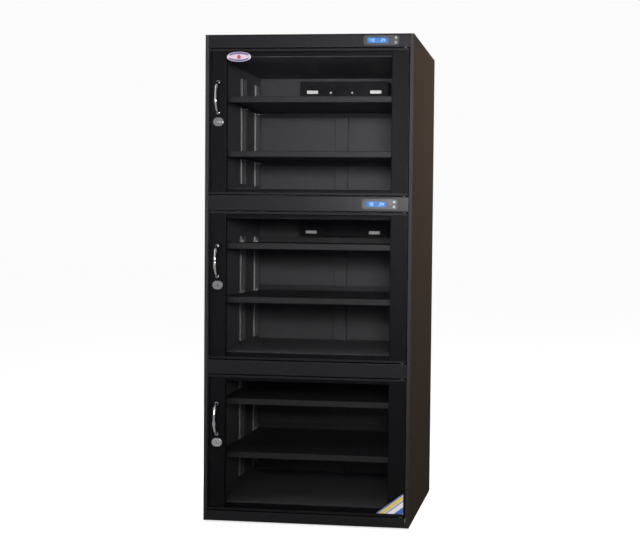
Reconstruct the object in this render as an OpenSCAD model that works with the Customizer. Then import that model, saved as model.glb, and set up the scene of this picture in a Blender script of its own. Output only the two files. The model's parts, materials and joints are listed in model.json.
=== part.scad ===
// Camera dry cabinet with three glass doors: a folded sheet steel body, six
// shelves on slotted posts, two drying units and two humidity controllers.

/* [Body] */
// Width of the body over its side panels
body_w = 670; // [640:1:760]
// Depth of the body from the door fronts to the back panel
body_d = 520; // [480:1:620]
// Thickness of the body sheet steel
sheet_t = 1.5; // [1.2:0.1:2]
// Inside radius of every bend in the sheet
bend_r = 1; // [0.8:0.1:1.2]
// Width of the folded front edge of each side panel
edge_w = 12; // [11:0.5:16]
// Height of the body above the floor, taken up by the feet
foot_gap = 5; // [4:0.5:12]

/* [Heights, from the top down] */
// Height of the strip above the upper door
top_fascia_h = 42; // [40:1:70]
// Height of the opening for the upper door
upper_slot_h = 466; // [450:1:600]
// Height of the strip between the upper and middle doors
middle_fascia_h = 48; // [42:1:80]
// Height of the opening for the middle door
middle_slot_h = 478; // [460:1:600]
// Height of the strip between the middle and lower doors
lower_fascia_h = 46; // [30:1:80]
// Height of the opening for the lower door
lower_slot_h = 442; // [436:1:600]
// Height of the strip under the lower door
plinth_h = 33; // [30:1:80]

/* [Doors] */
// Gap between a door and its opening on every side
door_gap = 2.5; // [2:0.1:3.5]
// Thickness of a door from its front lips to its back
door_t = 22; // [20:0.5:26]
// Thickness of the glass
glass_t = 4; // [3:0.5:5]
// Height of the lips that hold the glass at its top and bottom
lip_h = 8; // [6:0.5:12]
// Width of the stiles behind the sides of the glass
stile_w = 55; // [48:1:60]
// Distance from the hinge side of a door to its pivot
pivot_in = 12; // [11:0.5:14]
// Distance from the front of a door to its pivot
pivot_back = 7; // [6.6:0.1:7.4]
// Diameter of the hinge pins
pin_d = 6; // [5:0.5:6]
// Width of the gasket strips
gasket_w = 12; // [8:0.5:12]

/* [Handles and locks] */
// Distance from the left side of the body to the middle of the handles and locks
handle_in = 44; // [43:0.5:52]
// Distance between the two feet of a handle
handle_pitch = 96; // [64:1:160]
// Distance from the glass to the middle of a handle's bow
handle_out = 30; // [25:0.5:45]
// Radius of the bow between its beads
bow_r = 4; // [3:0.1:5]
// Height of the middle of a handle above the lock
handle_rise = 77; // [70:1:120]
// Diameter of a lock's barrel
barrel_d = 19; // [16:0.5:19]

/* [Shelves] */
// Height of a shelf's folded front rim
shelf_rim = 20; // [14:1:30]
// Height of the stop along a shelf's back
shelf_stop = 20; // [10:1:25]
// Distance between the slots in the shelf posts
slot_pitch = 35; // [30:1:35]
// Width of a shelf post
post_w = 52; // [30:1:60]
// Depth of a shelf post off the wall
post_d = 6; // [5:0.5:10]

/* [Fittings] */
// Width of a drying unit
dry_unit_w = 320; // [240:5:400]
// Height of a drying unit
dry_unit_h = 52; // [46:1:52]
// Depth of a drying unit
dry_unit_d = 60; // [40:1:70]
// Width of a controller's front
bezel_w = 113; // [105:1:130]
// Height of a controller's front
bezel_h = 31; // [28:1:34]
// Distance from the right side of the body to the middle of the controllers
controller_in = 103; // [95:1:180]
// Diameter of the controller buttons
button_d = 8; // [6:0.5:9]
// Travel of the controller buttons
button_travel = 1; // [0.5:0.1:1.5]

/* [Hidden] */
$fn = 48;
bow_sides = 16;
bow_rings = 40;
over = 1;
fit = 0.3;
run_fit = 0.1;
pin_fit = 0.05;

// Levels
slot_h = [upper_slot_h, middle_slot_h, lower_slot_h];
lower_slot_z = foot_gap + plinth_h;
middle_slot_z = lower_slot_z + lower_slot_h + lower_fascia_h;
upper_slot_z = middle_slot_z + middle_slot_h + middle_fascia_h;
slot_z = [upper_slot_z, middle_slot_z, lower_slot_z];
body_top = upper_slot_z + upper_slot_h + top_fascia_h;

// Body panels
left_x = -body_w / 2;
rear_return = 14;
edge_return = 45;
liner_return = 12;
left_inset = 30;
right_inset = 45;
top_flange = 15;
tray_flange = 15;
plinth_return = 60;
base_upright = 38;
gasket_d = 7;
landing_y = door_t + gasket_d + fit;
landing_h = 24;
bar_return = 16;
room_l = left_x + left_inset;
room_r = body_w / 2 - right_inset;
room_w = room_r - room_l;
inner_back = body_d - sheet_t;
tray_y = landing_y + sheet_t + bend_r;
floor_z = [for (z = slot_z) z + landing_h - sheet_t];
ceiling_z = [for (i = [0:2]) slot_z[i] + slot_h[i] - landing_h + sheet_t];
liner_z = foot_gap + base_upright + sheet_t;

// Doors
door_w = body_w - 2 * edge_w - 2 * door_gap;
door_x = -door_w / 2;
rail_leg = 20;
rail_inset = sheet_t + bend_r;
glass_y = sheet_t;
stile_y = glass_y + glass_t;
stile_back = door_t - sheet_t - fit;
gasket_in = 2.5;
gasket_wall = 1.6;
pivot_x = door_w / 2 - pivot_in;
bush_wall = 1;
bush_h = 8;
bush_flange = 2;

// Handles and locks
handle_x = left_x + handle_in;
boss_r = 6;
boss_h = 6;
screw_d = 4;
screw_head_d = 8;
screw_head_h = 3;
screw_grip = 4;
bead_share = [0.25, 0.6];
bead_size_share = 0.5;
bead_length_share = 0.055;
lock_flange_w = 34;
lock_flange_h = 27;
lock_flange_t = 3;
lock_rim_share = 0.86;
barrel_back = 3.5;
nut_d = 25;
nut_t = 3;
plug_d = 12;
plug_proud = 1.5;
tail_d = 9;
key_w = 2.2;
key_l = 8;
key_depth = 5;
cam_w = 10;
cam_t = 3;
cam_l = 24;
cam_gap = 0.7;
cam_y = landing_y + sheet_t + cam_gap + sheet_t;
strike_t = 1.5;
strike_d = 14;
strike_above = 14;
strike_below = 34;
strike_slot_above = 8;
strike_slot_below = 28;
strike_slot_d = 3;

// Shelves and posts
post_short = [106, 118, 82];
post_lift = [27.5, 11.5, 28.5];
post_edge = 20;
post_t = 1.2;
slot_w = 4;
slot_tall = 12;
shelf_share = [[0.78, 0.22], [1, 0.44], [0.89, 0.33]];
post_front = 60;
post_rear = 22;
post_middle_share = 0.587;
post_y = [post_front + post_w / 2, body_d * post_middle_share, inner_back - post_rear - post_w / 2];
shelf_flange = 12;
shelf_hem = 12;
shelf_y0 = 52;
shelf_rear = 13.5;
shelf_y1 = inner_back - shelf_rear;
clip_t = 1.5;
clip_w = 16;
clip_h = 20;
clip_ledge = 10;
clip_tab = 4;
tab_rise = 6;
shelf_in = post_d + clip_t + fit;

// Fittings
dry_unit_x = 18;
dry_unit_drop = [18, 4];
dry_corner_r = 5;
vent_w = 40;
vent_h = 11;
vent_t = 3;
vent_x = 115;
vent_z = -12;
vent_slot = 1.6;
vent_slots = 3;
grille_slots = 15;
grille_pitch = 9;
grille_slot = 4;
grille_h = 24;
grille_deep = 3;
louvre_count = 16;
louvre_w = 5;
louvre_h = 34;
louvre_pitch = 12;
duct_w = 47;
duct_d = 10;
air_slot_w = 40;
air_slot_d = 5;
air_slot_pitch = 52;
air_slot_back = 30;
air_slot_count = floor((room_w - air_slot_pitch) / air_slot_pitch);
bezel_t = 2.2;
bezel_r = 9;
control_w = 100;
control_h = 26;
control_d = 20;
display_x = -11;
hex_w = 78;
hex_h = 21;
hex_deep = 1;
hex_flat_share = 0.76;
display_w = 66;
display_h = 17;
display_t = 2.5;
button_x = 46;
button_z = 7.5;
button_proud = 1.2;
button_len = 8;
button_bore = 10;
sensor_d = 3;
sensor_x = 37;
sensor_z = -2;
controller_x = body_w / 2 - controller_in;
controller_z = [upper_slot_z + upper_slot_h + top_fascia_h / 2, middle_slot_z + middle_slot_h + middle_fascia_h / 2];
inlet_in = 105;
inlet_x = body_w / 2 - inlet_in;
inlet_w = 50;
inlet_h = 30;
inlet_flange = 3;
inlet_body_w = 30;
inlet_body_h = 22;
inlet_body_d = 24;
inlet_hole_w = 24;
inlet_hole_h = 16;
inlet_hole_d = 16;
inlet_pin_w = 2;
inlet_pin_h = 4;
inlet_pin_l = 12;
inlet_pin_step = 7;
inlet_r = 4;
foot_in = 45;
foot_back = 53;
foot_pad_r = 18;
foot_stud_d = 8;
foot_stud_h = 22;
screw_pan_d = 8;
screw_pan_h = 1.5;
screw_inset = 7;
screw_rows = 7;

// Bow of a handle: an ellipse from foot to foot, swelling at its beads
function bow_bead(s, at) = exp(-pow((s - at) / bead_length_share, 2));
function bow_size(s) = bow_r * (1 + bead_size_share * (bow_bead(s, bead_share[0]) + bow_bead(s, bead_share[1])));
function bow_rise(s) = handle_pitch / 2 * cos(180 * s);
function bow_off(s) = boss_h / 2 + (handle_out - boss_h / 2) * sin(180 * s);
function bow_lean(s) = atan2((handle_out - boss_h / 2) * cos(180 * s), handle_pitch / 2 * sin(180 * s));
bow_reach = max([for (i = [0:bow_rings]) bow_off(i / bow_rings) + bow_size(i / bow_rings) * cos(bow_lean(i / bow_rings))]);

// The origin lies on the floor under the middle of the whole cabinet
front_y = (bow_reach - glass_y - body_d - inlet_flange) / 2;

black_steel = "#26262b";
inner_steel = "#3a3a40";
zinc = "#b9bcc0";
chrome = "#d7d8da";

// Straight leg of bent sheet, along one axis of the drawing
module sheet_leg(from, to, t) {
    low = [min(from.x, to.x), min(from.y, to.y)];
    high = [max(from.x, to.x), max(from.y, to.y)];
    pad = (abs(to.x - from.x) > abs(to.y - from.y)) ? [0, t / 2] : [t / 2, 0];
    translate(low - pad) square(high - low + 2 * pad);
}

// Quarter ring that joins two legs at a square corner
module sheet_bend(before, at, after, t, rc) {
    u = (before - at) / norm(before - at);
    v = (after - at) / norm(after - at);
    middle = at + (u + v) * rc;
    reach = -(u + v) * (rc + t / 2);
    low = [min(middle.x, middle.x + reach.x), min(middle.y, middle.y + reach.y)];
    intersection() {
        translate(middle) difference() {
            circle(r = rc + t / 2);
            circle(r = rc - t / 2);
        }
        translate(low) square(rc + t / 2);
    }
}

// Section of a bent sheet that follows a path of square corners
module bent_sheet(path, t = sheet_t, r = bend_r) {
    rc = r + t / 2;
    last = len(path) - 1;
    for (i = [0:last - 1]) {
        d = (path[i + 1] - path[i]) / norm(path[i + 1] - path[i]);
        from = i == 0 ? path[i] : path[i] + d * rc;
        to = i == last - 1 ? path[i + 1] : path[i + 1] - d * rc;
        sheet_leg(from, to, t);
    }
    for (i = [1:1:last - 1]) sheet_bend(path[i - 1], path[i], path[i + 1], t, rc);
}

module rounded_rect(w, h, r) {
    square([w - 2 * r, h], center = true);
    square([w, h - 2 * r], center = true);
    for (x = [-1, 1], y = [-1, 1]) translate([x * (w / 2 - r), y * (h / 2 - r)]) circle(r = r);
}

// A section drawn in depth and height, run from x0 to x1
module along_x(x0, x1) translate([x0, 0, 0]) rotate([90, 0, 90]) linear_extrude(x1 - x0) children();

// A section drawn in width and height, run from y0 back to y1
module along_y(y0, y1) translate([0, y1, 0]) rotate([90, 0, 0]) linear_extrude(y1 - y0) children();

// A plan section, run up from z0 to z1
module along_z(z0, z1) translate([0, 0, z0]) linear_extrude(z1 - z0) children();

module pin_y(d, y0, y1) translate([0, y1, 0]) rotate([90, 0, 0]) cylinder(d = d, h = y1 - y0);

module at_front() translate([0, front_y, 0]) children();

// Side panel: one sheet with its back return, outer wall and boxed front edge
module side_panel() along_z(foot_gap, body_top - sheet_t) bent_sheet([
    [left_x + rear_return, body_d - 1.5 * sheet_t],
    [left_x + sheet_t / 2, body_d - 1.5 * sheet_t],
    [left_x + sheet_t / 2, sheet_t / 2],
    [left_x + edge_w - sheet_t / 2, sheet_t / 2],
    [left_x + edge_w - sheet_t / 2, edge_return],
]);

module left_side_panel() color(black_steel) at_front() side_panel();

module right_side_panel() color(black_steel) at_front() mirror([1, 0, 0]) side_panel();

// Inner wall with the strip that the gasket lands on along its front
module liner(inset) along_z(liner_z, body_top - sheet_t) bent_sheet([
    [left_x + edge_w, landing_y + sheet_t / 2],
    [left_x + inset - sheet_t / 2, landing_y + sheet_t / 2],
    [left_x + inset - sheet_t / 2, body_d - 1.5 * sheet_t],
    [left_x + inset - liner_return, body_d - 1.5 * sheet_t],
]);

function lock_z(i) = slot_z[i] + slot_h[i] / 2;

module strike_slot(i) translate([room_l - sheet_t - over, cam_y - cam_gap, lock_z(i) - strike_slot_below])
    cube([sheet_t + strike_t + 2 * over, cam_t + cam_gap + strike_slot_d, strike_slot_below + strike_slot_above]);

module left_liner() color(inner_steel) at_front() difference() {
    liner(left_inset);
    for (i = [0:2]) strike_slot(i);
}

module right_liner() color(inner_steel) at_front() mirror([1, 0, 0]) liner(right_inset);

module lock_strikes() color(zinc) at_front() for (i = [0:2]) difference() {
    translate([room_l, tray_y, lock_z(i) - strike_below])
        cube([strike_t, strike_d, strike_above + strike_below]);
    strike_slot(i);
}

module top_panel() color(black_steel) at_front() {
    translate([left_x, 0, body_top - sheet_t]) cube([body_w, body_d, sheet_t]);
    for (side = [0, 1]) mirror([side, 0, 0])
        translate([left_x + sheet_t, edge_return + over, body_top - sheet_t - top_flange])
            cube([sheet_t, inner_back - 2 * edge_return, top_flange]);
}

function dry_unit_z(i) = ceiling_z[i] - dry_unit_drop[i] - dry_unit_h / 2;

inlet_z = controller_z[1];

module back_panel() color(black_steel) at_front() difference() {
    translate([left_x, inner_back, foot_gap]) cube([body_w, sheet_t, body_top - sheet_t - foot_gap]);
    for (i = [0, 1], k = [0:louvre_count - 1])
        translate([dry_unit_x + (k - (louvre_count - 1) / 2) * louvre_pitch, 0, dry_unit_z(i)])
            along_y(inner_back - over, body_d + over) rounded_rect(louvre_w, louvre_h, louvre_w / 2 - sheet_t / 2);
    translate([inlet_x, 0, inlet_z])
        along_y(inner_back - over, body_d + over) square([inlet_body_w + fit, inlet_body_h + fit], center = true);
}

module back_panel_screws() color(zinc) at_front() for (side = [-1, 1], k = [0:screw_rows - 1])
    translate([
        side * (body_w / 2 - screw_inset), 0,
        foot_gap + foot_in + k * (body_top - foot_gap - 2 * foot_in) / (screw_rows - 1)
    ]) pin_y(screw_pan_d, body_d, body_d + screw_pan_h);

// Front strip: a face with a return at its top and bottom
module fascia(z0, z1, lower_return = landing_y) along_x(left_x + edge_w + fit, -left_x - edge_w - fit) bent_sheet([
    [landing_y, z1 - sheet_t / 2],
    [sheet_t / 2, z1 - sheet_t / 2],
    [sheet_t / 2, z0 + sheet_t / 2],
    [lower_return, z0 + sheet_t / 2],
]);

module bush_hole(z) translate([pivot_x, pivot_back, z - sheet_t - over])
    cylinder(d = pin_d + 2 * (pin_fit + bush_wall + pin_fit), h = 2 * (sheet_t + over));

module controller_hole(i) translate([controller_x, 0, controller_z[i]])
    along_y(-over, sheet_t + over) square([control_w + 2 * fit, control_h + 2 * fit], center = true);

module top_fascia() color(black_steel) at_front() difference() {
    fascia(slot_z[0] + slot_h[0], body_top - sheet_t);
    bush_hole(slot_z[0] + slot_h[0]);
    controller_hole(0);
}

module middle_fascia() color(black_steel) at_front() difference() {
    fascia(slot_z[1] + slot_h[1], slot_z[0]);
    bush_hole(slot_z[1] + slot_h[1]);
    bush_hole(slot_z[0]);
    controller_hole(1);
}

module lower_fascia() color(black_steel) at_front() difference() {
    fascia(slot_z[2] + slot_h[2], slot_z[1]);
    bush_hole(slot_z[2] + slot_h[2]);
    bush_hole(slot_z[1]);
}

module foot_places() for (x = [left_x + foot_in, -left_x - foot_in], y = [foot_back, body_d - foot_back])
    translate([x, y, 0]) children();

module foot_holes() foot_places() translate([0, 0, foot_gap - over]) cylinder(d = foot_stud_d + fit, h = sheet_t + 2 * over);

module kick_plinth() color(black_steel) at_front() difference() {
    fascia(foot_gap, slot_z[2], plinth_return);
    bush_hole(slot_z[2]);
    foot_holes();
}

// Bars behind the strips: the gaskets land on them, and trays rest on their returns
module landing_bar(z0, z1) along_x(room_l + fit, room_r - fit) bent_sheet([
    [landing_y + bar_return, z0 + sheet_t / 2],
    [landing_y + sheet_t / 2, z0 + sheet_t / 2],
    [landing_y + sheet_t / 2, z1 - sheet_t / 2],
    [landing_y + bar_return, z1 - sheet_t / 2],
]);

module door_landing_bars() color(inner_steel) at_front() {
    landing_bar(ceiling_z[0] - sheet_t, body_top - sheet_t);
    for (i = [1, 2]) landing_bar(ceiling_z[i] - sheet_t, floor_z[i - 1] + sheet_t);
    landing_bar(foot_gap + sheet_t, floor_z[2] + sheet_t);
}

module rear_base_channel() color(black_steel) at_front() difference() {
    along_x(left_x + rear_return + fit, -left_x - rear_return - fit) bent_sheet([
        [inner_back - plinth_return, foot_gap + sheet_t / 2],
        [inner_back - sheet_t / 2, foot_gap + sheet_t / 2],
        [inner_back - sheet_t / 2, foot_gap + base_upright],
    ]);
    foot_holes();
}

// Tray between the inner walls: its flanges turn away from the bay
module tray(z, flange) along_y(tray_y, inner_back) bent_sheet([
    [room_l + sheet_t / 2, z + flange],
    [room_l + sheet_t / 2, z],
    [room_r - sheet_t / 2, z],
    [room_r - sheet_t / 2, z + flange],
]);

// Air slots that let the lower bay share the middle bay's drying unit
module air_slots(z) for (k = [0:air_slot_count - 1])
    translate([(room_l + room_r) / 2 + (k - (air_slot_count - 1) / 2) * air_slot_pitch, inner_back - air_slot_back, z])
        cube([air_slot_w, air_slot_d, 2 * sheet_t + over], center = true);

module bay_ceilings() color(inner_steel) at_front() difference() {
    for (z = ceiling_z) tray(z + sheet_t / 2, tray_flange);
    air_slots(ceiling_z[2]);
}

module bay_floors() color(inner_steel) at_front() difference() {
    for (z = floor_z) tray(z - sheet_t / 2, -tray_flange);
    air_slots(floor_z[1]);
}

function post_z(i) = floor_z[i] + post_lift[i];
function post_len(i) = slot_h[i] - post_short[i];
function last_slot(i) = floor((post_len(i) - 2 * post_edge) / slot_pitch);
function slot_at(i, k) = post_z(i) + post_edge + k * slot_pitch;
function shelf_slot(i, n) = slot_at(i, round(shelf_share[i][n] * last_slot(i)));

// Slotted post on the left inner wall
module post(i, y, inset) difference() {
    along_z(post_z(i), post_z(i) + post_len(i)) bent_sheet([
        [left_x + inset, y - post_w / 2 + post_t / 2],
        [left_x + inset + post_d - post_t / 2, y - post_w / 2 + post_t / 2],
        [left_x + inset + post_d - post_t / 2, y + post_w / 2 - post_t / 2],
        [left_x + inset, y + post_w / 2 - post_t / 2],
    ], post_t);
    for (k = [0:last_slot(i)]) translate([left_x + inset + post_d, y, slot_at(i, k)])
        cube([2 * post_t + over, slot_w, slot_tall], center = true);
}

module shelf_posts() color(zinc) at_front() for (i = [0:2], y = post_y) {
    post(i, y, left_inset);
    mirror([1, 0, 0]) post(i, y, right_inset);
}

// Top surface of shelf n of bay i, counted from the top
function shelf_z(i, n) = shelf_slot(i, n) - tab_rise + shelf_flange;

module shelf_clip(z, y, inset) translate([left_x + inset + post_d, y, z]) {
    translate([0, -clip_w / 2, -tab_rise]) cube([clip_t, clip_w, clip_h]);
    translate([0, -clip_w / 2, -tab_rise - clip_t]) cube([clip_t + clip_ledge, clip_w, clip_t]);
    translate([-clip_tab, -(slot_w - fit) / 2, -(slot_tall - over) / 2]) cube([clip_tab, slot_w - fit, slot_tall - over]);
}

module shelf_clips() color(zinc) at_front() for (i = [0:2], n = [0, 1], y = post_y) {
    shelf_clip(shelf_slot(i, n), y, left_inset);
    mirror([1, 0, 0]) shelf_clip(shelf_slot(i, n), y, right_inset);
}

// Folded shelf with a front rim, and an angle along its back as a stop
module shelf(z) color(inner_steel) at_front() {
    x0 = room_l + shelf_in;
    x1 = room_r - shelf_in;
    along_x(x0, x1) bent_sheet([
        [shelf_y0 + shelf_hem, z - shelf_rim + sheet_t / 2],
        [shelf_y0 + sheet_t / 2, z - shelf_rim + sheet_t / 2],
        [shelf_y0 + sheet_t / 2, z - sheet_t / 2],
        [shelf_y1 - sheet_t / 2, z - sheet_t / 2],
        [shelf_y1 - sheet_t / 2, z - shelf_rim],
    ]);
    for (x = [x0, x1 - sheet_t]) translate([x, shelf_y0 + sheet_t + bend_r, z - shelf_flange])
        cube([sheet_t, shelf_y1 - shelf_y0 - 2 * (sheet_t + bend_r), shelf_flange - sheet_t]);
    translate([0, 0, z + fit]) along_x(x0, x1) bent_sheet([
        [shelf_y1 - shelf_hem, sheet_t / 2],
        [shelf_y1 - sheet_t / 2, sheet_t / 2],
        [shelf_y1 - sheet_t / 2, shelf_stop],
    ]);
}

module upper_bay_top_shelf() shelf(shelf_z(0, 0));
module upper_bay_bottom_shelf() shelf(shelf_z(0, 1));
module middle_bay_top_shelf() shelf(shelf_z(1, 0));
module middle_bay_bottom_shelf() shelf(shelf_z(1, 1));
module lower_bay_top_shelf() shelf(shelf_z(2, 0));
module lower_bay_bottom_shelf() shelf(shelf_z(2, 1));

dry_y = inner_back - dry_unit_d;

module vent_places(i) for (side = [-1, 1])
    translate([dry_unit_x + side * vent_x, 0, dry_unit_z(i) + vent_z]) children();

module dry_unit_cases() color("#1d1d20") at_front() for (i = [0, 1]) difference() {
    translate([dry_unit_x, 0, dry_unit_z(i)])
        along_y(dry_y, inner_back) rounded_rect(dry_unit_w, dry_unit_h, dry_corner_r);
    vent_places(i) along_y(dry_y - over, dry_y + vent_t) square([vent_w + fit, vent_h + fit], center = true);
    for (k = [0:grille_slots - 1])
        translate([dry_unit_x + (k - (grille_slots - 1) / 2) * grille_pitch, 0, dry_unit_z(i)])
            along_y(dry_y - over, dry_y + grille_deep) square([grille_slot, grille_h], center = true);
}

module dry_unit_vents() color("#e9e9e6") at_front() for (i = [0, 1]) vent_places(i) difference() {
    along_y(dry_y, dry_y + vent_t) square([vent_w, vent_h], center = true);
    for (k = [0:vent_slots - 1])
        translate([0, 0, (k - (vent_slots - 1) / 2) * 2 * vent_slot])
            along_y(dry_y - over, dry_y + vent_t / 2) square([vent_w - 2 * vent_t, vent_slot], center = true);
}

// Wiring cover up the middle of the back wall of each bay
module wiring_ducts() color(inner_steel) at_front() for (i = [0:2])
    along_z(floor_z[i], i < 2 ? dry_unit_z(i) - dry_unit_h / 2 : ceiling_z[i]) bent_sheet([
        [-duct_w / 2 + sheet_t / 2, inner_back],
        [-duct_w / 2 + sheet_t / 2, inner_back - duct_d + sheet_t / 2],
        [duct_w / 2 - sheet_t / 2, inner_back - duct_d + sheet_t / 2],
        [duct_w / 2 - sheet_t / 2, inner_back],
    ]);

module hex_window() polygon([
    for (p = [[-1, 0], [-hex_flat_share, 1], [hex_flat_share, 1], [1, 0], [hex_flat_share, -1], [-hex_flat_share, -1]])
        [p.x * hex_w / 2, p.y * hex_h / 2]
]);

module button_places(i, tops = [1, -1]) for (side = tops)
    translate([controller_x + button_x, 0, controller_z[i] + side * button_z]) children();

module controller_bezels() color("#2c2c31") at_front() for (i = [0, 1]) difference() {
    translate([controller_x, 0, controller_z[i]]) {
        along_y(-bezel_t, 0) rounded_rect(bezel_w, bezel_h, bezel_r);
        along_y(0, control_d) square([control_w, control_h], center = true);
    }
    translate([controller_x + display_x, 0, controller_z[i]]) {
        along_y(-bezel_t - over, hex_deep - bezel_t) hex_window();
        along_y(-bezel_t, hex_deep - bezel_t + display_t) square([display_w + fit, display_h + fit], center = true);
    }
    translate([controller_x + sensor_x, 0, controller_z[i] + sensor_z]) pin_y(sensor_d, -bezel_t - over, 0);
    button_places(i) pin_y(button_d + 2 * run_fit, -bezel_t - over, button_bore - bezel_t);
}

module controller_displays() color("#2f62c8") at_front() for (i = [0, 1])
    translate([controller_x + display_x, 0, controller_z[i]])
        along_y(hex_deep - bezel_t, hex_deep - bezel_t + display_t) square([display_w, display_h], center = true);

module controller_button(i, side) color("#b7a7ad") at_front() button_places(i, [side])
    pin_y(button_d, -bezel_t - button_proud, button_len - bezel_t - button_proud);

module upper_set_button() controller_button(0, 1);
module upper_adjust_button() controller_button(0, -1);
module middle_set_button() controller_button(1, 1);
module middle_adjust_button() controller_button(1, -1);

module power_inlet() color("#1b1b1d") at_front() translate([inlet_x, 0, inlet_z]) {
    difference() {
        union() {
            along_y(body_d, body_d + inlet_flange) rounded_rect(inlet_w, inlet_h, inlet_r);
            along_y(body_d - inlet_body_d, body_d) square([inlet_body_w, inlet_body_h], center = true);
        }
        along_y(body_d + inlet_flange - inlet_hole_d, body_d + inlet_flange + over)
            square([inlet_hole_w, inlet_hole_h], center = true);
    }
    for (k = [-1, 0, 1]) translate([k * inlet_pin_step, 0, (1 - abs(k)) * inlet_pin_h / 2])
        along_y(body_d + inlet_flange - inlet_hole_d, body_d + inlet_flange - inlet_hole_d + inlet_pin_l)
            square([inlet_pin_w, inlet_pin_h], center = true);
}

module levelling_feet() color("#17171a") at_front() foot_places() {
    cylinder(r = foot_pad_r, h = foot_gap);
    cylinder(d = foot_stud_d, h = foot_gap + foot_stud_h);
}

// Flanged bush, its flange in the door gap and its sleeve in the strip
module bush() difference() {
    union() {
        cylinder(d = pin_d + 2 * (pin_fit + bush_wall + bush_flange), h = door_gap - fit);
        cylinder(d = pin_d + 2 * (pin_fit + bush_wall), h = door_gap - fit + bush_h);
    }
    translate([0, 0, -over]) cylinder(d = pin_d + 2 * pin_fit, h = door_gap + bush_h + 2 * over);
}

module hinge_bushes() color("#e4e0d6") at_front() for (i = [0:2]) translate([pivot_x, pivot_back, 0]) {
    translate([0, 0, slot_z[i] + slot_h[i] - door_gap + fit]) bush();
    translate([0, 0, slot_z[i] + door_gap - fit]) mirror([0, 0, 1]) bush();
}

// Top and bottom rails of a door hold the glass; boxed stiles stand behind it
module door_rail(z, up) along_x(door_x, -door_x) bent_sheet([
    [sheet_t / 2, z - up * lip_h],
    [sheet_t / 2, z - up * sheet_t / 2],
    [door_t - sheet_t / 2, z - up * sheet_t / 2],
    [door_t - sheet_t / 2, z - up * rail_leg],
]);

module door_stile(z0, z1) along_z(z0, z1) bent_sheet([
    [door_x + sheet_t / 2, glass_y + fit],
    [door_x + sheet_t / 2, stile_back - sheet_t / 2],
    [door_x + stile_w - sheet_t / 2, stile_back - sheet_t / 2],
    [door_x + stile_w - sheet_t / 2, stile_y + sheet_t / 2],
    [door_x + 2 * sheet_t, stile_y + sheet_t / 2],
]);

module handle_bolts(i, d, y0, y1) for (side = [-1, 1])
    translate([handle_x, 0, lock_z(i) + handle_rise + side * handle_pitch / 2]) pin_y(d, y0, y1);

module lock_bore(i, d, y0, y1) translate([handle_x, 0, lock_z(i)]) pin_y(d, y0, y1);

module door_frame(i) {
    low = slot_z[i] + door_gap;
    high = slot_z[i] + slot_h[i] - door_gap;
    color(black_steel) at_front() difference() {
        union() {
            door_rail(high, 1);
            door_rail(low, -1);
        }
        translate([pivot_x, pivot_back, low - over]) cylinder(d = pin_d + 2 * pin_fit, h = high - low + 2 * over);
    }
    color(black_steel) at_front() difference() {
        union() {
            door_stile(low + rail_inset, high - rail_inset);
            mirror([1, 0, 0]) door_stile(low + rail_inset, high - rail_inset);
        }
        handle_bolts(i, screw_d + fit, stile_y - over, stile_y + sheet_t + over);
        handle_bolts(i, screw_head_d + 2 * fit, stile_back - sheet_t - over, door_t);
        lock_bore(i, barrel_d + fit, stile_y - over, door_t);
    }
}

module door_glass(i) {
    inset = sheet_t + fit;
    color("#5a6670", 0.35) at_front() difference() {
        translate([door_x + inset, glass_y, slot_z[i] + door_gap + rail_inset])
            cube([door_w - 2 * inset, glass_t, slot_h[i] - 2 * (door_gap + rail_inset)]);
        handle_bolts(i, screw_d + 2 * fit, 0, stile_y + over);
        lock_bore(i, barrel_d + 2 * fit, 0, stile_y + over);
    }
}

// Hollow strip of gasket: w wide and d deep
module gasket_section(w, d) difference() {
    square([w, d]);
    translate([gasket_wall, gasket_wall]) square([w - 2 * gasket_wall, d - 2 * gasket_wall]);
}

module door_gasket(i) {
    low = slot_z[i] + door_gap + rail_leg;
    high = slot_z[i] + slot_h[i] - door_gap - rail_leg;
    left = door_x + gasket_in;
    right = pivot_x - gasket_in;
    color("#202022") at_front() {
        for (x = [left, right - gasket_w]) along_z(low + fit, high - fit)
            translate([x, stile_back]) gasket_section(gasket_w, landing_y - fit - stile_back);
        for (z = [low - gasket_w, high]) along_x(left, right)
            translate([door_t, z]) gasket_section(landing_y - fit - door_t, gasket_w);
    }
}

// Ring k of a handle's bow, square to its path
function bow_ring(k) = let (s = k / bow_rings, r = bow_size(s), lean = bow_lean(s)) [
    for (j = [0:bow_sides - 1]) let (a = 360 * j / bow_sides)
        [r * cos(a), -bow_off(s) - r * sin(a) * cos(lean), bow_rise(s) + r * sin(a) * sin(lean)]
];

module bow() polyhedron(
    points = [for (k = [0:bow_rings]) each bow_ring(k)],
    faces = concat(
        [[for (j = [0:bow_sides - 1]) j]],
        [[for (j = [bow_sides - 1:-1:0]) bow_rings * bow_sides + j]],
        [for (k = [0:bow_rings - 1], j = [0:bow_sides - 1], half = [0, 1])
            let (n = (j + 1) % bow_sides, a = k * bow_sides, b = a + bow_sides)
            half == 0 ? [a + j, b + j, a + n] : [b + j, b + n, a + n]]
    )
);

module handle(i) color(chrome) at_front() {
    difference() {
        translate([handle_x, glass_y, lock_z(i) + handle_rise]) {
            bow();
            for (side = [-1, 1]) translate([0, 0, side * handle_pitch / 2]) pin_y(2 * boss_r, -boss_h, 0);
        }
        handle_bolts(i, screw_d + pin_fit, glass_y - screw_grip - pin_fit, glass_y + over);
    }
    handle_bolts(i, screw_d, glass_y - screw_grip, stile_y + sheet_t);
    handle_bolts(i, screw_head_d, stile_y + sheet_t, stile_y + sheet_t + screw_head_h);
}

module hinge_pins(i) color(zinc) at_front() for (z = [slot_z[i] + door_gap + sheet_t, slot_z[i] + slot_h[i] + bush_h - fit])
    translate([pivot_x, pivot_back, z - sheet_t - door_gap - bush_h + fit])
        cylinder(d = pin_d, h = sheet_t + door_gap + bush_h - fit);

module oval(w, h) {
    square([w - h, h], center = true);
    for (x = [-1, 1]) translate([x * (w - h) / 2, 0]) circle(d = h);
}

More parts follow.
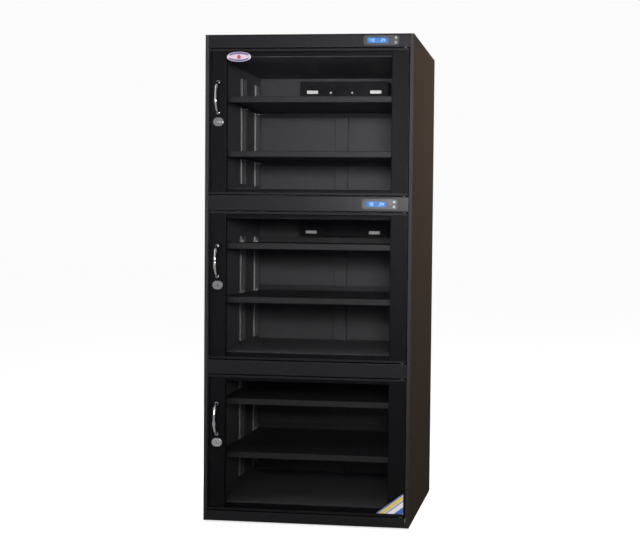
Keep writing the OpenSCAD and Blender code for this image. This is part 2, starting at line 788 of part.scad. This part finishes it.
module lock_barrel(i) color(chrome) at_front() translate([handle_x, 0, lock_z(i)]) {
    difference() {
        union() {
            along_y(glass_y - lock_flange_t / 2, glass_y) oval(lock_flange_w, lock_flange_h);
            along_y(glass_y - lock_flange_t, glass_y)
                oval(lock_flange_w * lock_rim_share, lock_flange_h * lock_rim_share);
            pin_y(barrel_d, glass_y - over, door_t + barrel_back);
        }
        pin_y(plug_d + 2 * run_fit, glass_y - lock_flange_t - over, door_t + barrel_back + over);
    }
    difference() {
        pin_y(nut_d, stile_back, stile_back + nut_t);
        pin_y(barrel_d + fit, stile_back - over, stile_back + nut_t + over);
    }
}

module lock_plug(i) color(chrome) at_front() translate([handle_x, 0, lock_z(i)]) difference() {
    union() {
        pin_y(plug_d, glass_y - lock_flange_t - plug_proud, door_t + barrel_back);
        pin_y(tail_d, door_t, cam_y);
    }
    translate([0, glass_y - lock_flange_t - plug_proud, 0])
        cube([key_w, 2 * key_depth, key_l], center = true);
}

module lock_cam(i) color(zinc) at_front() translate([handle_x, 0, lock_z(i)]) {
    pin_y(cam_w, cam_y, cam_y + cam_t);
    translate([-cam_w / 2, cam_y, -cam_l]) cube([cam_w, cam_t, cam_l]);
}

module upper_door_frame() door_frame(0);
module upper_door_glass() door_glass(0);
module upper_door_gasket() door_gasket(0);
module upper_handle() handle(0);
module upper_hinge_pins() hinge_pins(0);
module upper_lock_barrel() lock_barrel(0);
module upper_lock_plug() lock_plug(0);
module upper_lock_cam() lock_cam(0);
module middle_door_frame() door_frame(1);
module middle_door_glass() door_glass(1);
module middle_door_gasket() door_gasket(1);
module middle_handle() handle(1);
module middle_hinge_pins() hinge_pins(1);
module middle_lock_barrel() lock_barrel(1);
module middle_lock_plug() lock_plug(1);
module middle_lock_cam() lock_cam(1);
module lower_door_frame() door_frame(2);
module lower_door_glass() door_glass(2);
module lower_door_gasket() door_gasket(2);
module lower_handle() handle(2);
module lower_hinge_pins() hinge_pins(2);
module lower_lock_barrel() lock_barrel(2);
module lower_lock_plug() lock_plug(2);
module lower_lock_cam() lock_cam(2);

left_side_panel();
right_side_panel();
left_liner();
right_liner();
top_panel();
back_panel();
top_fascia();
middle_fascia();
lower_fascia();
kick_plinth();
door_landing_bars();
rear_base_channel();
bay_ceilings();
bay_floors();
shelf_posts();
upper_bay_top_shelf();
upper_bay_bottom_shelf();
middle_bay_top_shelf();
middle_bay_bottom_shelf();
lower_bay_top_shelf();
lower_bay_bottom_shelf();
shelf_clips();
dry_unit_cases();
dry_unit_vents();
controller_bezels();
controller_displays();
upper_set_button();
upper_adjust_button();
middle_set_button();
middle_adjust_button();
wiring_ducts();
power_inlet();
hinge_bushes();
lock_strikes();
levelling_feet();
back_panel_screws();
upper_door_frame();
upper_door_glass();
upper_door_gasket();
upper_handle();
upper_hinge_pins();
upper_lock_barrel();
upper_lock_plug();
upper_lock_cam();
middle_door_frame();
middle_door_glass();
middle_door_gasket();
middle_handle();
middle_hinge_pins();
middle_lock_barrel();
middle_lock_plug();
middle_lock_cam();
lower_door_frame();
lower_door_glass();
lower_door_gasket();
lower_handle();
lower_hinge_pins();
lower_lock_barrel();
lower_lock_plug();
lower_lock_cam();
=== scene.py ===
"""Looks of a three-door camera dry cabinet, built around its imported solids."""

import json
import math

import bmesh
import bpy
from mathutils import Matrix, Vector


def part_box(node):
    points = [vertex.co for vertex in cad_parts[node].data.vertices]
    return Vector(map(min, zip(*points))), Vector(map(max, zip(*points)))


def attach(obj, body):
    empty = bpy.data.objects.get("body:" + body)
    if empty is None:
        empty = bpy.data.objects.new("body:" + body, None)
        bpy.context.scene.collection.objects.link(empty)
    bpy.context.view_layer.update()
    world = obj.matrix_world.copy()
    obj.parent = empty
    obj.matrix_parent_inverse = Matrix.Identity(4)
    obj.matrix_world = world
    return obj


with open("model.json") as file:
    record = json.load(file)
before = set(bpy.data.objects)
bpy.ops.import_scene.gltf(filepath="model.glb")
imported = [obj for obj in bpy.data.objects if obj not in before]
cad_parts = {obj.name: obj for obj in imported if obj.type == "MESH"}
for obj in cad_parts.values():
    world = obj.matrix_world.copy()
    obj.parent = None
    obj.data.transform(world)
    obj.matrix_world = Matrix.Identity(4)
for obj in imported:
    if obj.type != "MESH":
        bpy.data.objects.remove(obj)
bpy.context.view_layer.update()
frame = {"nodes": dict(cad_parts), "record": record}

MM = 0.001

# Camera, fitted to the corners of the cabinet in the photo
PHOTO_W = 640
SENSOR = 36.0
CAMERA_AT = (0.8188, -3.5814, 0.9318)
CAMERA_YAW = 0.11
CAMERA_PITCH = -0.0359
CAMERA_ROLL = 0.0129
FOCAL_PX = 1075.86
CENTRE_PX = 448.0

# Room: a pale floor and world that look nearly white and light the object less than they show
FLOOR_HALF = 30.0
FLOOR_COLOR = (0.86, 0.86, 0.86)
FLOOR_ROUGHNESS = 0.8
FLOOR_LIFT = 0.71
WORLD_LIGHT = 0.3
WORLD_SEEN = 0.97
# Name, place, aim, width and height, watts, colour and spread in degrees
LAMPS = (
    ("key", (0.07, -3.15, 1.34), (0.1, -0.24, 1.3), (0.25, 0.25), 7.5, (1.0, 1.0, 1.0), 60),
    ("front", (1.0, -3.5, 1.3), (0.2, 0, 1.4), (0.5, 0.5), 11, (1.0, 1.0, 1.0), 48),
    ("fill", (-2.8, -2.2, 2.8), (0.1, 0, 1.4), (2.0, 2.0), 8, (1.0, 1.0, 1.0), 80),
    ("overhead", (0, -0.6, 4.0), (0, 0, 0), (3.0, 3.0), 16, (1.0, 1.0, 1.0), 180),
    ("side", (2.6, 1.2, 2.4), (0.335, 0.2, 1.5), (0.5, 0.8), 20, (1.0, 0.86, 0.72), 70),
)

# Noise levels between which a colour or a gloss goes from its low to its high value
COLOR_RAMP = (0.35, 0.65)
GLOSS_RAMP = (0.3, 0.7)
# Share of a surface's normal that points left or right, from a fold to the broad side that carries the side
# panels' painted warm sheen
PAINTED_SHEEN_SIDE_RAMP = (0.75, 0.97)
# Scales of the noise in the paint's colour and gloss
PAINT_FLECK = 240
PAINT_GLOSS_PATCH = 5
# Scale, strength and depth of the fine bumps
ORANGE_PEEL = (600, 0.06, 0.2 * MM)
ZINC_SPANGLE = (900, 0.1, 0.1 * MM)
MOULD_GRAIN = (1500, 0.2, 0.1 * MM)
# How far a moulded or printed surface's gloss and a print's colour wander
MOULD_GLOSS_SPREAD = 0.06
PRINT_GLOSS_SPREAD = (-0.05, 0.08)
PRINT_FADE = 0.92

# Stickers on the glass
STICKER_T = 0.2 * MM
INK_T = 0.5 * STICKER_T
OVAL_AT = (-0.2255, 1.4905)
OVAL_SIZE = (0.079, 0.031)
OVAL_POINTS = 48
ARC_STEPS = 24
# Shares of the oval's half width and half height, and turns in degrees
BAND_OUTER = (0.93, 0.9)
BAND_INNER = (0.8, 0.55)
BAND_STARTS = (("upper", 25), ("lower", 205))
BAND_SWEEP = 130
DROP_TIP = 0.5
DROP_LOWERED = 0.06
DROP_RADIUS = 0.42
DROP_TURN = (150, 390)
CORNER_RIGHT = 0.317
CORNER_LEFT = 0.231
CORNER_FOOT = 0.05
CORNER_TOP = 0.115

# Digits of seven bars
SEGMENTS = {"0": "abcdef", "2": "abged", "4": "fgbc"}
DISPLAY_H = 17 * MM
DIGIT_W = 5.2 * MM
DIGIT_H = 9.5 * MM
DIGIT_T = 0.15 * MM
DIGIT_PITCH = 1.35 * DIGIT_W
BAR = 1.1 * MM
BAR_END = 0.7 * BAR

# Lamps on the upper drying unit: radius and height of the collar and lens
LAMP_PROFILE = ((3.6, 0.0), (3.6, 0.9), (3.2, 1.3), (2.6, 1.2),
                (2.4, 1.6), (1.9, 2.1), (1.1, 2.5), (0.4, 2.6))
LAMP_SIDES = 24
LAMP_X = (("left", -0.03), ("right", 0.0477))
LAMP_UNDER_TOP = 0.0405


# Materials
def link(tree, source, output, target, socket):
    tree.links.new(source.outputs[output], target.inputs[socket])


def principled(name, color, roughness, metallic=0.0, **sockets):
    """A new material with its node tree and shader."""
    mat = bpy.data.materials.new(name)
    mat.use_nodes = True
    tree = mat.node_tree
    shader = tree.nodes["Principled BSDF"]
    shader.inputs["Base Color"].default_value = (*color, 1)
    shader.inputs["Roughness"].default_value = roughness
    shader.inputs["Metallic"].default_value = metallic
    for socket, value in sockets.items():
        shader.inputs[socket.replace("_", " ")].default_value = value
    mat.diffuse_color = (*color, 1)
    return mat, tree, shader


def noise(tree, scale, detail=3.0):
    coord = tree.nodes.new("ShaderNodeTexCoord")
    tex = tree.nodes.new("ShaderNodeTexNoise")
    tex.inputs["Scale"].default_value = scale
    tex.inputs["Detail"].default_value = detail
    link(tree, coord, "Object", tex, "Vector")
    return tex


def map_range(tree, source, output, span, result=(0.0, 1.0)):
    """A node that turns the span of an output into the result's span."""
    spread = tree.nodes.new("ShaderNodeMapRange")
    spread.inputs["From Min"].default_value, spread.inputs["From Max"].default_value = span
    spread.inputs["To Min"].default_value, spread.inputs["To Max"].default_value = result
    link(tree, source, output, spread, "Value")
    return spread


def color_noise(tree, low, high, scale):
    ramp = tree.nodes.new("ShaderNodeValToRGB")
    for element, position, color in zip(ramp.color_ramp.elements, COLOR_RAMP, (low, high)):
        element.position = position
        element.color = (*color, 1)
    link(tree, noise(tree, scale), "Fac", ramp, "Fac")
    return ramp


def vary_color(tree, shader, low, high, scale):
    link(tree, color_noise(tree, low, high, scale), "Color", shader, "Base Color")


def vary_roughness(tree, shader, low, high, scale):
    spread = map_range(tree, noise(tree, scale), "Fac", GLOSS_RAMP, (low, high))
    link(tree, spread, "Result", shader, "Roughness")


def grain(tree, shader, scale, strength, depth):
    bump = tree.nodes.new("ShaderNodeBump")
    bump.inputs["Strength"].default_value = strength
    bump.inputs["Distance"].default_value = depth
    link(tree, noise(tree, scale, detail=2.0), "Fac", bump, "Height")
    link(tree, bump, "Normal", shader, "Normal")


def powder_coat(name, low, high, rough, specular=0.15):
    """Baked powder paint: fine orange peel and a slow change of gloss between two values."""
    mat, tree, shader = principled(name, high, rough[1], Specular_IOR_Level=specular)
    vary_color(tree, shader, low, high, PAINT_FLECK)
    vary_roughness(tree, shader, *rough, scale=PAINT_GLOSS_PATCH)
    grain(tree, shader, *ORANGE_PEEL)
    return mat


def painted_sheen_side_mask(tree):
    """Mask of the side panels' painted warm sheen: 1 where a surface faces left or right, 0 where it faces
    the front, the back, up or down.
    """
    geometry = tree.nodes.new("ShaderNodeNewGeometry")
    split = tree.nodes.new("ShaderNodeSeparateXYZ")
    size = tree.nodes.new("ShaderNodeMath")
    size.operation = "ABSOLUTE"
    link(tree, geometry, "Normal", split, "Vector")
    link(tree, split, "X", size, 0)
    return map_range(tree, size, "Value", PAINTED_SHEEN_SIDE_RAMP)


def painted_sheen_side_coat(name, edge, low, high, rough):
    """The body's paint on its side panels, with a painted sheen: matt and lighter than the black paint, warm
    on the broad side, neutral on the folds.
    """
    mat, tree, shader = principled(name, high, rough, Specular_IOR_Level=0.0)
    mix = tree.nodes.new("ShaderNodeMixRGB")
    mix.inputs["Color1"].default_value = (*edge, 1)
    link(tree, color_noise(tree, low, high, PAINT_FLECK), "Color", mix, "Color2")
    link(tree, painted_sheen_side_mask(tree), "Result", mix, "Fac")
    link(tree, mix, "Color", shader, "Base Color")
    grain(tree, shader, *ORANGE_PEEL)
    return mat


def zinc_plate(name, low, high, metallic=0.9):
    mat, tree, shader = principled(name, high, roughness=0.4, metallic=metallic)
    vary_color(tree, shader, low, high, scale=60)
    vary_roughness(tree, shader, 0.32, 0.5, scale=90)
    grain(tree, shader, *ZINC_SPANGLE)
    return mat


# Chrome much darker than real chrome: painted shade standing in for a dark room reflected in it
def chrome_plate_with_painted_shade(name):
    mat, tree, shader = principled(name, (0.2, 0.2, 0.208), roughness=0.1, metallic=1.0)
    vary_roughness(tree, shader, 0.07, 0.16, scale=120)
    return mat


def moulded(name, low, high, rough, specular=0.5):
    """Moulded plastic or rubber with a fine eroded grain."""
    mat, tree, shader = principled(name, high, rough, Specular_IOR_Level=specular)
    vary_color(tree, shader, low, high, scale=40)
    vary_roughness(tree, shader, rough - MOULD_GLOSS_SPREAD, rough + MOULD_GLOSS_SPREAD, scale=70)
    grain(tree, shader, *MOULD_GRAIN)
    return mat


def smoked_glass(name):
    """Flat smoked glass without mirror images: it passes light straight and has a faint uneven cast."""
    mat, tree, shader = principled(name, (0.002, 0.002, 0.003), roughness=0.03, Alpha=0.2,
                                   Specular_IOR_Level=0.0)
    vary_color(tree, shader, (0.001, 0.001, 0.0015), (0.003, 0.003, 0.004), scale=3)
    return mat


def lit_display(name):
    """Blue liquid crystal display with a faint glow of its own."""
    mat, tree, shader = principled(name, (0.04, 0.14, 0.62), roughness=0.12, Specular_IOR_Level=0.2,
                                   Emission_Color=(0.14, 0.31, 0.62, 1), Emission_Strength=0.1)
    vary_color(tree, shader, (0.016, 0.065, 0.2), (0.036, 0.11, 0.27), scale=45)
    return mat


def printed(name, color, rough=0.35):
    """Printed vinyl or painted marking."""
    mat, tree, shader = principled(name, color, rough)
    vary_color(tree, shader, [c * PRINT_FADE for c in color], color, scale=90)
    vary_roughness(tree, shader, *(rough + spread for spread in PRINT_GLOSS_SPREAD), scale=60)
    return mat


MATERIALS = {
    "black_paint": powder_coat("black_paint", (0.0062, 0.0057, 0.0069), (0.0088, 0.0081, 0.0096),
                               rough=(0.28, 0.3), specular=0.08),
    "inner_paint": powder_coat("inner_paint", (0.1, 0.098, 0.104), (0.124, 0.121, 0.128), rough=(0.5, 0.62)),
    "post_zinc": zinc_plate("post_zinc", (0.21, 0.21, 0.215), (0.26, 0.26, 0.265), metallic=0.08),
    "zinc": zinc_plate("zinc", (0.5, 0.5, 0.52), (0.62, 0.62, 0.64)),
    "chrome": chrome_plate_with_painted_shade("chrome"),
    "smoked_glass": smoked_glass("smoked_glass"),
    "gasket_rubber": moulded("gasket_rubber", (0.012, 0.012, 0.013), (0.018, 0.018, 0.019), rough=0.75),
    "foot_rubber": moulded("foot_rubber", (0.012, 0.012, 0.012), (0.02, 0.02, 0.02), rough=0.7),
    "case_plastic": moulded("case_plastic", (0.008, 0.008, 0.009), (0.014, 0.014, 0.015),
                            rough=0.6, specular=0.1),
    "bezel_plastic": moulded("bezel_plastic", (0.014, 0.014, 0.016), (0.021, 0.021, 0.023),
                             rough=0.35, specular=0.2),
    "display": lit_display("display"),
    "button_plastic": moulded("button_plastic", (0.1, 0.094, 0.096), (0.14, 0.131, 0.134), rough=0.35),
    "vent_plastic": moulded("vent_plastic", (0.86, 0.86, 0.85), (0.94, 0.94, 0.93), rough=0.5),
    "bush_nylon": moulded("bush_nylon", (0.018, 0.018, 0.019), (0.028, 0.028, 0.029), rough=0.5),
    "inlet_plastic": moulded("inlet_plastic", (0.01, 0.01, 0.011), (0.017, 0.017, 0.018), rough=0.35),
}
# Side panels: a lighter, warmer copy of the black paint, a painted sheen for the light on the sides
PAINTED_SHEEN_SIDE_PAINT = painted_sheen_side_coat("side_paint_painted_sheen", edge=(0.028, 0.027, 0.0285), low=(0.028, 0.0225, 0.0195),
                       high=(0.034, 0.0275, 0.0238), rough=0.84)
FRAME_PAINT = powder_coat("frame_paint", (0.0058, 0.0053, 0.0064), (0.009, 0.0083, 0.0096),
                          rough=(0.42, 0.48), specular=0.05)
BACK_PAINT = powder_coat("back_paint", (0.054, 0.053, 0.056), (0.064, 0.062, 0.066), rough=(0.45, 0.55))
SHELF_PAINT = powder_coat("shelf_paint", (0.021, 0.02, 0.0215), (0.029, 0.028, 0.03), rough=(0.42, 0.52))
PRINT_WHITE = printed("print_white", (0.8, 0.8, 0.8))
PRINT_BLUE = printed("print_blue", (0.035, 0.1, 0.42))
PRINT_YELLOW = printed("print_yellow", (0.75, 0.55, 0.07))
PRINT_RED = printed("print_red", (0.22, 0.015, 0.035))
PRINT_PINK = printed("print_pink", (0.34, 0.27, 0.31))
PRINT_INK = printed("print_ink", (0.035, 0.04, 0.13))
PRINT_PALE = printed("print_pale", (0.28, 0.44, 0.72), rough=0.3)

# Nodes that the photo shows in another shade than the rest of the black paint
SHADES = (
    # Side panels get the painted-sheen paint, lighter and warmer than the black paint
    (("left_side_panel", "right_side_panel"), PAINTED_SHEEN_SIDE_PAINT),
    (("upper_bay_top_shelf", "upper_bay_bottom_shelf", "middle_bay_top_shelf", "middle_bay_bottom_shelf",
      "lower_bay_top_shelf", "lower_bay_bottom_shelf"), SHELF_PAINT),
    (("upper_door_frame", "middle_door_frame", "lower_door_frame"), FRAME_PAINT),
    (("back_panel", "wiring_ducts"), BACK_PAINT),
)

for part in frame["record"]["subparts"]:
    solid = frame["nodes"][part["node"]]
    solid.data.materials.clear()
    solid.data.materials.append(MATERIALS[part["material_slot"]])
for names, shade in SHADES:
    for name in names:
        frame["nodes"][name].data.materials[0] = shade


# Pieces
def new_piece(name, vertices, faces, material, body):
    mesh = bpy.data.meshes.new(name)
    mesh.from_pydata([Vector(v) for v in vertices], [], faces)
    mesh.update()
    piece = bpy.data.objects.new(name, mesh)
    bpy.context.scene.collection.objects.link(piece)
    mesh.materials.append(material)
    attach(piece, body)
    return piece


def plate(name, outline, front, back, material, body):
    """A flat piece with an outline in width and height, from front to back in depth."""
    n = len(outline)
    vertices = [(x, front, z) for x, z in outline] + [(x, back, z) for x, z in outline]
    faces = [list(range(n)), list(range(2 * n - 1, n - 1, -1))]
    faces += [[(i + 1) % n, i, n + i, n + (i + 1) % n] for i in range(n)]
    piece = new_piece(name, vertices, faces, material, body)
    bm = bmesh.new()
    bm.from_mesh(piece.data)
    bmesh.ops.recalc_face_normals(bm, faces=bm.faces)
    bm.to_mesh(piece.data)
    bm.free()


def sticker(name, outline, glass, material, body):
    """The vinyl of a label, on the front of a door's glass."""
    plate(name, outline, glass - STICKER_T, glass, material, body)


def ink(name, outline, glass, material, body):
    """A printed shape on the vinyl of a label."""
    plate(name, outline, glass - STICKER_T - INK_T, glass - STICKER_T, material, body)


def arc(cx, cz, rx, rz, start, end, steps):
    turns = [math.radians(start + (end - start) * i / steps) for i in range(steps + 1)]
    return [(cx + rx * math.cos(t), cz + rz * math.sin(t)) for t in turns]


def add_oval_sticker():
    """Plain oval label: pale field, two blue bands and one red drop."""
    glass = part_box("upper_door_glass")[0].y
    cx, cz = OVAL_AT
    rx, rz = OVAL_SIZE[0] / 2, OVAL_SIZE[1] / 2
    whole = arc(cx, cz, rx, rz, 0, 360 * (OVAL_POINTS - 1) / OVAL_POINTS, OVAL_POINTS - 1)
    sticker("oval_label", whole, glass, PRINT_PINK, "upper_door")
    for side, start in BAND_STARTS:
        end = start + BAND_SWEEP
        outer = arc(cx, cz, rx * BAND_OUTER[0], rz * BAND_OUTER[1], start, end, ARC_STEPS)
        inner = arc(cx, cz, rx * BAND_INNER[0], rz * BAND_INNER[1], end, start, ARC_STEPS)
        ink("oval_label_%s_band" % side, outer + inner, glass, PRINT_INK, "upper_door")
    drop = arc(cx, cz - rz * DROP_LOWERED, rz * DROP_RADIUS, rz * DROP_RADIUS, *DROP_TURN, ARC_STEPS)
    ink("oval_label_drop", [(cx, cz + rz * DROP_TIP)] + drop, glass, PRINT_RED, "upper_door")


# Stripes of the corner label: the two shares of its foot and side between which each runs
CORNER_STRIPES = (
    (0.62, 0.68, PRINT_BLUE),
    (0.72, 0.9, PRINT_YELLOW),
    (0.93, 0.99, PRINT_BLUE),
    (0.05, 0.35, PRINT_BLUE),
)


def add_corner_sticker():
    """Triangular corner label with plain slanting stripes."""
    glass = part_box("lower_door_glass")[0].y
    triangle = [(CORNER_LEFT, CORNER_FOOT), (CORNER_RIGHT, CORNER_FOOT), (CORNER_RIGHT, CORNER_TOP)]
    sticker("corner_label", triangle, glass, PRINT_WHITE, "lower_door")

    def on_foot(share):
        return (CORNER_RIGHT - (CORNER_RIGHT - CORNER_LEFT) * share, CORNER_FOOT)

    def on_side(share):
        return (CORNER_RIGHT, CORNER_FOOT + (CORNER_TOP - CORNER_FOOT) * share)

    for k, (start, end, material) in enumerate(CORNER_STRIPES):
        outline = [on_foot(end), on_foot(start), on_side(start), on_side(end)]
        ink("corner_label_stripe_%d" % k, outline, glass, material, "lower_door")


def segment_box(letter, x, z):
    """Low and high corner of one bar of a digit centred on x, z."""
    w, h, t = DIGIT_W / 2, DIGIT_H / 2, BAR / 2
    across = {"a": h - t, "g": 0, "d": t - h}
    if letter in across:
        return (x - w + BAR, z + across[letter] - t), (x + w - BAR, z + across[letter] + t)
    side = w - t if letter in "bc" else t - w
    low, high = (BAR_END, h - BAR_END) if letter in "bf" else (BAR_END - h, -BAR_END)
    return (x + side - t, z + low), (x + side + t, z + high)


def add_digits(name, text, x, z, front):
    """Plain numbers of seven bars each, joined into one piece."""
    vertices, faces = [], []
    for k, figure in enumerate(text):
        at = x + (k - (len(text) - 1) / 2) * DIGIT_PITCH
        for letter in SEGMENTS[figure]:
            (x0, z0), (x1, z1) = segment_box(letter, at, z)
            n = len(vertices)
            for y in (front - DIGIT_T, front):
                vertices += [(x0, y, z0), (x1, y, z0), (x1, y, z1), (x0, y, z1)]
            faces += [[n, n + 1, n + 2, n + 3], [n + 7, n + 6, n + 5, n + 4]]
            faces += [[n + i, n + 4 + i, n + 4 + (i + 1) % 4, n + (i + 1) % 4] for i in range(4)]
    new_piece(name, vertices, faces, PRINT_PALE, "body")


def add_display_numbers():
    low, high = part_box("controller_displays")
    x = (low.x + high.x) / 2
    half = (high.x - low.x) / 4
    for name, z in (("upper", high.z - DISPLAY_H / 2), ("middle", low.z + DISPLAY_H / 2)):
        add_digits(name + "_humidity", "40", x - half, z, low.y)
        add_digits(name + "_temperature", "24", x + half, z, low.y)


def add_unit_lamps():
    """Two small pale lamps between the vents of the upper drying unit."""
    low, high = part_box("dry_unit_cases")
    z = high.z - LAMP_UNDER_TOP
    for side, x in LAMP_X:
        vertices, faces = [], []
        for radius, height in LAMP_PROFILE:
            for i in range(LAMP_SIDES):
                turn = 2 * math.pi * i / LAMP_SIDES
                across, up = radius * MM * math.cos(turn), radius * MM * math.sin(turn)
                vertices.append((x + across, low.y - height * MM, z + up))
        for ring in range(len(LAMP_PROFILE) - 1):
            for i in range(LAMP_SIDES):
                a, b = ring * LAMP_SIDES + i, ring * LAMP_SIDES + (i + 1) % LAMP_SIDES
                faces.append([a, b, b + LAMP_SIDES, a + LAMP_SIDES])
        faces.append(list(range(len(vertices) - LAMP_SIDES, len(vertices))))
        faces.append(list(range(LAMP_SIDES))[::-1])
        name = "upper_unit_%s_lamp" % side
        new_piece(name, vertices, faces, MATERIALS["vent_plastic"], "body")


# Camera, room and lamps
def camera_matrix():
    cos_pitch = math.cos(CAMERA_PITCH)
    forward = Vector((-math.sin(CAMERA_YAW) * cos_pitch, math.cos(CAMERA_YAW) * cos_pitch,
                      math.sin(CAMERA_PITCH)))
    level = Vector((math.cos(CAMERA_YAW), math.sin(CAMERA_YAW), 0))
    upright = level.cross(forward)
    right = math.cos(CAMERA_ROLL) * level + math.sin(CAMERA_ROLL) * upright
    up = math.cos(CAMERA_ROLL) * upright - math.sin(CAMERA_ROLL) * level
    turn = Matrix((right, up, -forward)).transposed().to_4x4()
    return Matrix.Translation(CAMERA_AT) @ turn


def add_camera():
    data = bpy.data.cameras.new("camera")
    data.sensor_width = SENSOR
    data.lens = FOCAL_PX * SENSOR / PHOTO_W
    data.shift_x = (PHOTO_W / 2 - CENTRE_PX) / PHOTO_W
    camera = bpy.data.objects.new("camera", data)
    camera.matrix_world = camera_matrix()
    bpy.context.scene.collection.objects.link(camera)
    bpy.context.scene.camera = camera


def seen_directly(tree):
    """1 for rays from the camera and for those that metal and glass send on."""
    path = tree.nodes.new("ShaderNodeLightPath")
    either = path.outputs["Is Camera Ray"]
    for ray in ("Is Glossy Ray", "Is Transmission Ray"):
        pick = tree.nodes.new("ShaderNodeMath")
        pick.operation = "MAXIMUM"
        tree.links.new(either, pick.inputs[0])
        tree.links.new(path.outputs[ray], pick.inputs[1])
        either = pick.outputs[0]
    return either


def add_world():
    world = bpy.data.worlds.new("studio")
    bpy.context.scene.world = world
    world.use_nodes = True
    tree = world.node_tree
    background = tree.nodes["Background"]
    background.inputs["Color"].default_value = (1, 1, 1, 1)
    seen = tree.nodes.new("ShaderNodeMapRange")
    seen.inputs["To Min"].default_value = WORLD_LIGHT
    seen.inputs["To Max"].default_value = WORLD_SEEN
    tree.links.new(seen_directly(tree), seen.inputs["Value"])
    tree.links.new(seen.outputs["Result"], background.inputs["Strength"])


def add_floor():
    """A pale flat floor that looks lighter where it is seen, and keeps its shadows."""
    f = FLOOR_HALF
    mesh = bpy.data.meshes.new("floor")
    mesh.from_pydata([(-f, -f, 0), (f, -f, 0), (f, f, 0), (-f, f, 0)], [], [[0, 1, 2, 3]])
    floor = bpy.data.objects.new("floor", mesh)
    bpy.context.scene.collection.objects.link(floor)
    mat, tree, shader = principled("floor", FLOOR_COLOR, FLOOR_ROUGHNESS, Specular_IOR_Level=0.0,
                                   Emission_Color=(1, 1, 1, 1))
    glow = tree.nodes.new("ShaderNodeMath")
    glow.operation = "MULTIPLY"
    glow.inputs[1].default_value = FLOOR_LIFT
    tree.links.new(seen_directly(tree), glow.inputs[0])
    tree.links.new(glow.outputs[0], shader.inputs["Emission Strength"])
    mesh.materials.append(mat)


def add_lamp(name, at, aim, size, power, color, spread):
    data = bpy.data.lights.new(name, "AREA")
    data.shape = "RECTANGLE"
    data.size, data.size_y = size
    data.energy = power
    data.color = color
    data.spread = math.radians(spread)
    lamp = bpy.data.objects.new(name, data)
    lamp.location = at
    lamp.rotation_euler = (Vector(aim) - Vector(at)).to_track_quat("-Z", "Y").to_euler()
    bpy.context.scene.collection.objects.link(lamp)


add_oval_sticker()
add_corner_sticker()
add_display_numbers()
add_unit_lamps()
add_camera()
add_world()
add_floor()
for lamp_values in LAMPS:
    add_lamp(*lamp_values)

bpy.context.scene.view_settings.view_transform = "Standard"
